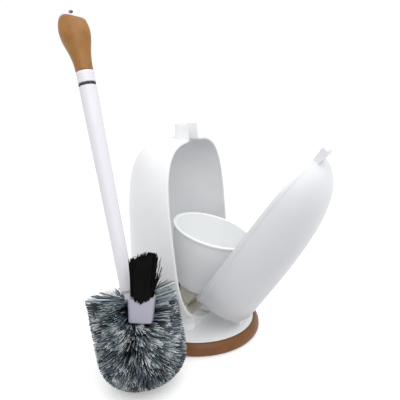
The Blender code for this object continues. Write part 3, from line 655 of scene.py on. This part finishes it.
def buildDoor():
    # the skin drawn closed and turned open, cut where the link and the lug pass, with ears and tab as islands
    d = door
    outer, outerCorner = doorSkin(0.0)
    inner, innerCorner = doorSkin(d["wall"])
    grid = rimmedLoop(outer, outerCorner, inner, innerCorner, d["edge"])
    rows, columns = grid.shape[:2]
    grid = turned(grid, d["axis"], d["open"])
    # the door's skin takes the greyed plastic, which is painted shade
    shell = weld(makeObject("swing_door", grid, loopFaces(rows, columns), doorPlasticPaintedShade), 4e-6)

    def tool(points, faces):
        return weld(makeObject("tool", turned(points, d["axis"], d["open"]), faces, doorPlasticPaintedShade))

    f, z = d["axis"]
    half = d["linkT"] / 2 + d["slotPlay"]
    linkSlot = plateAcross([(10, 8), (44, 8), (44, 26), (10, 26)], d["linkX"] - half, d["linkX"] + half)
    cutAway(shell, tool(*linkSlot))
    sweep = math.radians(d["open"] + 2.0)
    r = base["lugR"] + 1.5
    far = (f + r * math.cos(sweep) + 60 * math.sin(sweep), z + r * math.sin(sweep) - 60 * math.cos(sweep))
    slot = [(f - r, -5.0), far] + [(f + r * math.cos(a), z + r * math.sin(a)) for a in np.linspace(sweep, pi, 17)]
    cutAway(shell, tool(*plateAcross(slot, -d["earHalf"] - 0.8, d["earHalf"] + 0.8)))
    smooth(shell, 30)
    islands = []
    for side in (-1, 1):
        e0, e1 = sorted((side * (d["earHalf"] + 0.3), side * (d["earHalf"] + 0.3 + d["ear"])))
        ear = [(f - 6.0, z - 1.0), (f - 4.2, z - 4.6), (f + 1.0, z - 6.0), (f + 9.2, z - 6.4), (f + 12.4, z + 2.0),
               (f + 12.6, z + 16.0), (f + 4.0, z + 17.0), (f - 3.0, z + 15.5), (f - 6.0, z + 5.0)]
        islands.append(tool(*plateAcross(roundedLoop(ear, 1.2), e0, e1)))
    top = mouthTop()
    back = splitForward(top) + d["gap"]
    t = body["collarTop"]
    tab = [(back, top - 3.4), (back + d["tabDepth"], top - 5.4), (back + d["tabDepth"], t - 3.0),
           (back + d["tabDepth"] - 2.0, t - 1.0), (splitForward(t) + d["gap"], t - 1.0)]
    tabPiece = tool(*plateAcross(roundedLoop(tab, 0.8), -d["tabHalf"], d["tabHalf"]))
    join(shell, *islands, tabPiece)
    finishPiece(shell, "door", "white_plastic", "door_shell")


buildDoor()
print("door built")


# drip cup: an oval cup that leans forwards with the open door
cup = {"lean": 13.0, "axis": (-13.0, 27.0), "rim": (-2.0, 129.0), "rimA": 38.0, "rimB": 46.0, "floor": (-5.8, 51.5),
       "floorA": 20.0, "floorB": 25.0, "bow": 0.07, "foot": 5.0, "wall": 2.2, "lip": 1.5, "lipH": 2.8, "lipEdge": 0.7,
       "columns": 150}


def cupLevel(s, grow):
    # oval section at share s of the height, as middle, height and half axes, grown by some millimetres
    c = cup
    f = c["floor"][0] + (c["rim"][0] - c["floor"][0]) * s
    z = c["floor"][1] + (c["rim"][1] - c["floor"][1]) * s
    bow = 1 + c["bow"] * np.sin(pi * s)
    a = (c["floorA"] + (c["rimA"] - c["floorA"]) * s) * bow + grow
    b = (c["floorB"] + (c["rimB"] - c["floorB"]) * s) * bow + grow
    return f, z, a, b


def buildCup():
    # ovals carried from the middle of the foot up the outside, over the lip and down the inside
    c = cup
    z0, height = c["floor"][1], c["rim"][1] - c["floor"][1]
    f = c["floor"][0]
    arc = np.linspace(0, 0.5 * pi, 9)
    quarter = np.linspace(0, 0.5 * pi, 5)
    rows = [(f, z0, 0.0, 0.0)]
    for a in arc:  # rounded foot
        f, _, ra, rb = cupLevel(0.0, -c["foot"] * (1 - math.sin(a)))
        rows.append((f, z0 + c["foot"] * (1 - math.cos(a)), ra, rb))
    lipShare = 1 - c["lipH"] / height
    rows += [cupLevel(s, 0.0) for s in np.linspace(c["foot"] / height, lipShare - 0.012, 26)[1:]]
    for a in quarter:  # lip with a small radius below it
        f, z, ra, rb = cupLevel(lipShare, c["lip"] * math.sin(a))
        rows.append((f, z - 0.4 * math.cos(a), ra, rb))
    f, z, ra, rb = cupLevel(1.0, 0.0)
    e = c["lipEdge"]
    rows.append((f, z - e, ra + c["lip"], rb + c["lip"]))
    for a in quarter:
        grow = c["lip"] - e + e * math.cos(a)
        rows.append((f, z - e + e * math.sin(a), ra + grow, rb + grow))
    for a in quarter[::-1]:
        grow = -c["wall"] + e - e * math.cos(a)
        rows.append((f, z - e + e * math.sin(a), ra + grow, rb + grow))
    rows += [cupLevel(s, -c["wall"]) for s in np.linspace(1.0, c["foot"] / height, 28)[1:]]
    for a in arc[::-1]:
        f, _, ra, rb = cupLevel(0.0, -c["wall"] - c["foot"] * (1 - math.sin(a)))
        rows.append((f, z0 + c["wall"] + c["foot"] * (1 - math.cos(a)), ra, rb))
    rows.append((f, z0 + c["wall"], 0.0, 0.0))
    rows = np.array(rows)
    angle = np.linspace(0, 2 * pi, c["columns"], endpoint=False)
    x = rows[:, 2:3] * np.cos(angle)
    y = -rows[:, 0:1] + rows[:, 3:4] * np.sin(angle)
    z = np.repeat(rows[:, 1:2], len(angle), 1)
    grid = turned(np.stack([x, y, z], -1), c["axis"], c["lean"])
    # the cup's whitened plastic is painted light
    piece = loft("drip_cup_shell", grid, cupPlasticPaintedLight, degrees=50)
    finishPiece(piece, "cup", "cup_plastic", "drip_cup")


buildCup()
print("cup built")


# brush: handle
brush = {"foot": (-136.5, -19.8, 3.3), "along": (0.140, 0.294, 0.9455), "facing": (-0.841, -0.462, 0.281),
         "headR": 44.5, "headOff": 2.5, "headTop": 96.0, "headRound": 40.0, "tubeR0": 7.2, "tubeR1": 8.8,
         "neckR": 8.9, "neckZ": 300.0, "gripZ": 313.0, "capZ": 362.0, "holeR": 2.2, "holeZ": 55.2,
         "tuftAt": (11.5, 70.5), "tuftY": -27.0, "tuftLean": 13.0, "blockH": 23.0, "blockHalf": (12.2, 11.0)}


def brushMatrix():
    # the brush's own axes in the room: its length, the way its tuft faces, and across
    axis = np.array(brush["along"]) / np.linalg.norm(brush["along"])
    view = np.array(brush["facing"])
    front = view - axis * (view @ axis)
    front /= np.linalg.norm(front)
    return np.column_stack([np.cross(axis, front), -front, axis])


brushTurn = brushMatrix()
brushFoot = np.array(brush["foot"])


def onBrush(points):
    # from the brush's own axes to the room
    return np.asarray(points, float) @ brushTurn.T + brushFoot


def buildHandle():
    # three turned profiles: the tube, the sleeve above it and the black seal between them
    b = brush
    r, top, neck = b["tubeR1"], b["neckZ"] - 1.4, b["neckR"]
    tube = [(0.0, 96.5), (6.0, 96.3), (b["tubeR0"] - 0.6, 96.3), (b["tubeR0"], 97.0), (b["tubeR0"] + 0.3, 160.0),
            (8.1, 220.0), (r, 280.0), (r, top - 0.6), (r - 0.7, top), (6.0, top), (0.0, top)]
    piece = loft("handle_tube", onBrush(lathe(tube, 72)), tubePlastic, degrees=40)
    finishPiece(piece, "brush", "white_plastic", "tube")
    n0, n1 = b["neckZ"] + 1.4, b["gripZ"] - 0.3
    sleeve = [(0.0, 281.0), (5.9, 281.0), (5.9, n0), (neck - 0.4, n0), (neck, n0 + 0.4)]
    for k in range(3):  # three shallow rolls
        z0, z1 = n0 + 0.6 + k * 3.1, n0 + 3.4 + k * 3.1
        sleeve += [(neck - 0.15 * (1 - math.sin(pi * t)), z0 + (z1 - z0) * t) for t in np.linspace(0, 1, 7)]
    sleeve += [(neck - 0.1, n1 - 0.5), (neck - 0.5, n1), (5.9, n1), (5.9, b["gripZ"] + 13.9),
               (0.0, b["gripZ"] + 13.9)]
    piece = loft("neck", onBrush(lathe(sleeve, 72)), tubePlastic, degrees=50)
    finishPiece(piece, "brush", "white_plastic", "neck_sleeve")
    a = np.linspace(0, 2 * pi, 17)
    seal = np.column_stack([7.55 + 1.35 * np.cos(a), b["neckZ"] + 0.6 * np.sin(a)])
    piece = loft("neck_seal", onBrush(lathe(seal, 72)), blackRubber, degrees=60)
    finishPiece(piece, "brush", "black_rubber", "neck_ring")


# rows of height above the grip's foot, half width, half depth and offset to one side
gripRows = np.array([(0.0, 8.6, 8.6, -0.2), (9.0, 9.1, 9.0, -0.5), (19.0, 10.9, 10.4, -1.1), (29.0, 13.7, 12.2, -1.8),
                     (38.0, 15.0, 13.2, -2.3), (46.0, 14.2, 13.0, -2.9), (53.0, 11.9, 11.6, -3.2),
                     (58.0, 8.9, 9.2, -3.0), (61.0, 5.6, 6.0, -2.8), (62.0, 2.2, 2.4, -2.8)])


def gripSection(height):
    # half width, half depth and offset of the grip at a height, read from the smooth curve through its rows
    curve = spline(gripRows, 400)
    order = np.argsort(curve[:, 0])
    return [np.interp(height, curve[order, 0], curve[order, k]) for k in (1, 2, 3)]


def gripSkin(heights, angle, shrink=0.0):
    # ovals carried up the grip; heights is (rows, columns), so a row may wave
    a, b, off = gripSection(heights)
    x = off + (a - shrink) * np.cos(angle)
    y = (b - shrink) * np.sin(angle)
    return np.stack([x, y, brush["gripZ"] + heights], -1)


def waveLine(x):
    # height of the line where the tan grip ends and the white cap begins: a sine wave across the grip
    return brush["capZ"] - brush["gripZ"] + 2.2 - 2.6 * np.sin(x * 0.16)


def closedByPoles(first, *rows):
    # a first row drawn together to its middle, then the rows as they are
    return [np.repeat(first.mean(0)[None], len(first), 0), first, *rows]


def buildGrip():
    # grip and cap share one skin, which the wave line parts
    columns = 96
    angle = np.linspace(0, 2 * pi, columns, endpoint=False)
    a, _, off = gripSection(51.0)
    line = waveLine(off + a * np.cos(angle))
    grid = gripSkin(0.4 + (line - 0.9) * np.linspace(0, 1, 40)[:, None], angle)
    foot = gripSkin(np.full((1, columns), 0.0), angle, 0.4)[0]
    lip = gripSkin((line - 0.2)[None], angle, 0.35)[0]
    rows = closedByPoles(foot, *grid, lip, np.repeat(lip.mean(0)[None], columns, 0))
    piece = loft("soft_grip", onBrush(np.array(rows)), gripRubber, degrees=60)
    finishPiece(piece, "brush", "tan_grip", "grip")
    grid = gripSkin(line + 0.5 + (61.8 - line - 0.5) * np.linspace(0, 1, 26)[:, None], angle)
    foot = gripSkin((line + 0.1)[None], angle, 0.4)[0]
    pole = np.array([[-1.2, 0.0, brush["gripZ"] + 62.1]])
    rows = closedByPoles(foot, *grid, np.repeat(pole, columns, 0))
    cap = loft("grip_cap", onBrush(np.array(rows)), tubePlastic, degrees=60)
    turn = np.linspace(0, 2 * pi, 25)[:-1]
    holeX = -0.4 + brush["holeR"] * np.cos(turn)
    holeZ = brush["gripZ"] + brush["holeZ"] + brush["holeR"] * np.sin(turn)
    hole = np.stack([np.stack([holeX, np.full(24, y), holeZ], -1) for y in (-30.0, 30.0)])
    cutAway(cap, weld(makeObject("tool", onBrush(hole), loopFaces(2, 24, True, True), greyPlastic)))
    smooth(cap, 40)
    finishPiece(cap, "brush", "white_plastic", "end_cap")


buildHandle()
buildGrip()
print("handle built")


# brush: bristles
strands = {"tufts": 620, "each": 20, "radius": 0.36, "stray": 0.3, "thinTop": 0.85,
           "shades": [0.30, 0.28, 0.22, 0.20], "strayShades": [0.25, 0.3, 0.27, 0.18],
           "rimTuft": 1500, "rimRadius": 0.34, "loose": 0.14, "seed": 11}


def strandPiece(name, root, tip, bend, radius, material):
    # every strand is a slim three-sided rod along root + (tip - root) t + bend t squared, t running from 0 to 1
    count, rings = len(root), 4
    t = np.linspace(0, 1, rings)[None, :, None]
    line = root[:, None] + (tip - root)[:, None] * t + bend[:, None] * t ** 2
    along = tip - root + bend
    along /= np.linalg.norm(along, axis=1, keepdims=True)
    other = np.where(np.abs(along[:, 2:3]) < 0.8, np.array([[0.0, 0.0, 1.0]]), np.array([[1.0, 0.0, 0.0]]))
    u = np.cross(along, other)
    u /= np.linalg.norm(u, axis=1, keepdims=True)
    v = np.cross(along, u)
    turn = np.arange(3) * 2 * pi / 3
    taper = np.array([1.0, 1.0, 0.95, 0.7])[None, :, None, None]
    ring = u[:, None, None] * np.cos(turn)[:, None] + v[:, None, None] * np.sin(turn)[:, None]
    points = line[:, :, None] + ring * taper * np.asarray(radius).reshape(-1, 1, 1, 1)
    index = (np.arange(count) * rings * 3)[:, None, None]
    i, j = np.meshgrid(np.arange(rings - 1), np.arange(3), indexing="ij")
    k = (j + 1) % 3
    quads = np.stack([i * 3 + j, i * 3 + k, (i + 1) * 3 + k, (i + 1) * 3 + j], -1).reshape(1, -1, 4)
    quads = (quads + index).reshape(-1, 4)
    ends = np.array([[[2, 1, 0], [(rings - 1) * 3, (rings - 1) * 3 + 1, (rings - 1) * 3 + 2]]])
    ends = (ends + index).reshape(-1, 3)
    mesh = bpy.data.meshes.new(name)
    flat = onBrush(points.reshape(-1, 3)) * mm
    mesh.vertices.add(len(flat))
    mesh.vertices.foreach_set("co", flat.ravel())
    corners = np.concatenate([quads.ravel(), ends.ravel()])
    sizes = np.concatenate([np.full(len(quads), 4), np.full(len(ends), 3)])
    mesh.loops.add(len(corners))
    mesh.loops.foreach_set("vertex_index", corners)
    mesh.polygons.add(len(sizes))
    mesh.polygons.foreach_set("loop_start", np.concatenate([[0], np.cumsum(sizes)[:-1]]))
    mesh.update(calc_edges=True)
    mesh.polygons.foreach_set("use_smooth", np.ones(len(sizes), bool))
    mesh.validate()
    mesh.materials.append(material)
    obj = bpy.data.objects.new(name, mesh)
    bpy.context.scene.collection.objects.link(obj)
    return obj


def headRadius(z):
    # a cylinder whose foot is rounded as a superellipse
    bowl = brush["headRound"]
    low = brush["headR"] * np.maximum(0, 1 - np.clip((bowl - z) / bowl, 0, 1) ** 2.4) ** (1 / 2.2)
    return np.where(z < bowl, low, brush["headR"])


def tuftFrame(points):
    # from the brush's axes to coordinates across, behind and along the leaning block
    a = math.radians(brush["tuftLean"])
    x, z = points[..., 0] - brush["tuftAt"][0], points[..., 2] - brush["tuftAt"][1]
    return np.stack([x * math.cos(a) - z * math.sin(a), points[..., 1] - brush["tuftY"],
                     x * math.sin(a) + z * math.cos(a)], -1)


def fromTuftFrame(points):
    # the same turn the other way
    a = math.radians(brush["tuftLean"])
    x, z = points[..., 0], points[..., 2]
    return np.stack([brush["tuftAt"][0] + x * math.cos(a) + z * math.sin(a), points[..., 1] + brush["tuftY"],
                     brush["tuftAt"][1] - x * math.sin(a) + z * math.cos(a)], -1)


def buildHead():
    # locks spread evenly over the head's outline, each a bunch of strands from the core to the outline
    s = strands
    rng = np.random.default_rng(s["seed"])
    m = s["tufts"]
    # the share of the area below picks a lock's height, and a golden turn its side
    outlineZ = np.linspace(0, brush["headTop"], 400)
    steps = np.hypot(np.diff(headRadius(outlineZ)), brush["headTop"] / 399)
    path = np.concatenate([[0.0], np.cumsum(steps)])
    area = np.cumsum(np.maximum(headRadius(outlineZ), 3.0) * np.gradient(path))
    zTip = np.interp((np.arange(m) + 0.5) / m, area / area[-1], outlineZ)
    turn = np.arange(m) * pi * (3 - math.sqrt(5)) + rng.normal(0, 0.05, m)
    shade = rng.choice(4, m, p=s["shades"])
    tuft = np.repeat(np.arange(m), s["each"])
    count = len(tuft)
    stray = rng.random(count) < s["stray"]
    colour = np.where(stray, rng.choice(4, count, p=s["strayShades"]), shade[tuft])
    zt = np.clip(zTip[tuft] + rng.normal(0, 2.2, count), 0.7, 95.5)
    angle = turn[tuft] + rng.normal(0, 0.06, count)
    reach = headRadius(zt) * (1 - np.abs(rng.normal(0, 0.025, count)))
    reach = np.minimum(reach, brush["headR"] - 0.2)
    tip = np.stack([reach * np.cos(angle) + brush["headOff"] * reach / brush["headR"], reach * np.sin(angle), zt], -1)
    zRoot = 20.0 + 0.70 * zTip[tuft] + rng.normal(0, 0.7, count)
    rootR = 3.4 + 0.5 * rng.random(count)
    rootTurn = turn[tuft] + rng.normal(0, 0.22, count)
    root = np.stack([rootR * np.cos(rootTurn), rootR * np.sin(rootTurn), np.minimum(zRoot, 90.0)], -1)
    bend = rng.normal(0, 0.9, (count, 3))
    bend[:, 2] += 1.0
    tip = tip - bend
    # one side of the crown is worn thin, and no strand passes through the tuft's block
    worn = np.clip((zt - 72 + 0.25 * (44 - tip[:, 0])) / 18, 0, 1) * (tip[:, 0] > 0)
    clear = rng.random(count) > s["thinTop"] * worn
    for t in np.linspace(0.3, 1, 8):
        p = tuftFrame(root + (tip - root) * t + bend * t * t)
        clear &= ~((np.abs(p[:, 0]) < 12.6) & (p[:, 1] < 11.6) & (p[:, 2] > -0.5) & (p[:, 2] < 62))
    radius = s["radius"] * (0.85 + 0.3 * rng.random(count))
    table = [("navy_bristles", navyNylon), ("slate_bristles", slateNylon), ("sage_bristles", sageNylon),
             ("pale_bristles", paleNylon)]
    pieces = []
    for k, (name, material) in enumerate(table):
        use = clear & (colour == k)
        pieces.append(strandPiece(name, root[use], tip[use], bend[use], radius[use], material))
        finishPiece(pieces[-1], "brush", "grey_bristle")
    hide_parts("bristle_head")
    # packed roots of the strands: a ribbed dark core that closes the view through the head
    z = np.concatenate([[10.0], np.linspace(10.5, 84.0, 40), [84.5]])
    around = np.linspace(0, 2 * pi, 120, endpoint=False)
    r = np.where((z > 10) & (z < 84.5), 21.0 * np.clip(1 - np.clip((34 - z) / 25, 0, 1) ** 2.2, 0, 1) ** 0.5, 0.0)
    ribbed = r[:, None] * (1 + 0.06 * np.sin(23 * around + z[:, None] * 0.9))
    grid = np.stack([ribbed * np.cos(around), ribbed * np.sin(around), np.repeat(z[:, None], 120, 1)], -1)
    p = tuftFrame(grid)
    inside = (np.abs(p[..., 0]) < 13.5) & (p[..., 1] < 12.0) & (p[..., 2] > -1.5)
    grid[..., 1] = np.where(inside, np.maximum(grid[..., 1], brush["tuftY"] + 12.2), grid[..., 1])
    core = loft("packed_roots", onBrush(grid), navyNylon, degrees=60)
    finishPiece(core, "brush", "grey_bristle")


def buildTuft():
    # the leaning block with its stem, and the black tuft that stands in it
    s = strands
    rng = np.random.default_rng(s["seed"] + 1)
    h = brush["blockH"]
    halfX, halfY = brush["blockHalf"]
    # block: rounded rectangles carried up its leaning axis, a little wider at the top
    angle = np.linspace(0, 2 * pi, 64, endpoint=False)
    c, sn = np.cos(angle), np.sin(angle)
    boxX, boxY = [np.sign(q) * np.abs(q) ** (2 / 7) for q in (c, sn)]
    rows = [np.zeros((64, 3))]
    for z, k in ((0.0, 0.84), (0.35, 0.88), (1.2, 0.905), (h * 0.5, 0.955), (h - 1.4, 1.0), (h - 0.4, 0.99),
                 (h, 0.95)):
        rows.append(np.stack([halfX * k * boxX, halfY * k * boxY, np.full(64, z)], -1))
    rows.append(np.repeat([[0.0, 0.0, h]], 64, 0))
    block = loft("tuft_holder", onBrush(fromTuftFrame(np.array(rows))), greyPlastic, degrees=40)
    # short stem that carries the block on the core
    stem = []
    for u in np.linspace(0, 1, 9):
        centre = np.array([1.0 + 0.5 * u, -8.0 + 6.0 * u * u, -5.2 + 5.6 * u])
        stem.append(centre + np.stack([(1.7 + 0.8 * u) * c, (1.5 + 0.4 * u) * sn, 0 * c], -1))
    join(block, loft("stem", onBrush(fromTuftFrame(np.array(stem))), greyPlastic, (True, True)))
    finishPiece(block, "brush", "white_plastic", "tuft_block")
    n = s["rimTuft"]
    q = np.sqrt(rng.random(n))
    a = rng.random(n) * 2 * pi
    ux, uy = q * np.cos(a), q * np.sin(a)
    root = np.stack([10.6 * ux, 8.6 * uy, np.full(n, h - 1.0)], -1)
    length = 35.0 + 4.6 * ux + 2.0 * np.sin(5 * ux + 3 * uy) + rng.normal(0, 1.5, n)
    tip = np.stack([12.4 * ux + rng.normal(0, 0.9, n), 9.0 * uy + rng.normal(0, 0.7, n),
                    h + np.minimum(length, 41.0)], -1)
    loose = rng.random(n) < s["loose"]
    tip[loose, 0] += 5.0 * np.abs(rng.normal(0, 0.7, loose.sum()))
    tip[loose, 2] -= 24 * rng.random(loose.sum()) ** 1.3
    over = (uy < -0.55) & (rng.random(n) < 0.5)  # strands pushed over the front rim of the block
    root[over, 1] = -11.3
    root[over, 2] = h - 5.0 * (1 - np.abs(ux[over])) * rng.random(over.sum()) - 0.4
    tip[over, 1] = np.minimum(tip[over, 1], -9.5)
    bend = rng.normal(0, 0.8, (n, 3))
    root, tip = fromTuftFrame(root), fromTuftFrame(tip)
    radius = s["rimRadius"] * (0.8 + 0.4 * rng.random(n))
    piece = strandPiece("rim_bristles", root, tip - bend, bend, radius, blackNylon)
    finishPiece(piece, "brush", "black_bristle", "rim_tuft")


buildHead()
buildTuft()
print("bristles built")


# CAD nodes that stay, each with its own finish and the radius of its edges
kept = {"base_plate": (whitePlastic, 0.3), "base_screw_1": (steel, 0.15), "base_screw_2": (steel, 0.15),
        "base_screw_3": (steel, 0.15), "pivot_cradle": (warmGreyPlastic, 0.35), "cup_pin": (steel, 0.2),
        "door_pin": (steel, 0.2), "link_pin_door": (steel, 0.2), "link_pin_cup": (steel, 0.2),
        "cup_rocker": (warmGreyPlastic, 0.35), "rocker_buffer": (blackRubber, 0.8),
        "link_bar": (warmGreyPlastic, 0.4), "brush_core": (whitePlastic, 0.2)}
for name, (material, radius) in kept.items():
    nodes[name].data.materials.clear()
    nodes[name].data.materials.append(material)
    softenEdges(nodes[name], radius)
print("CAD nodes finished")
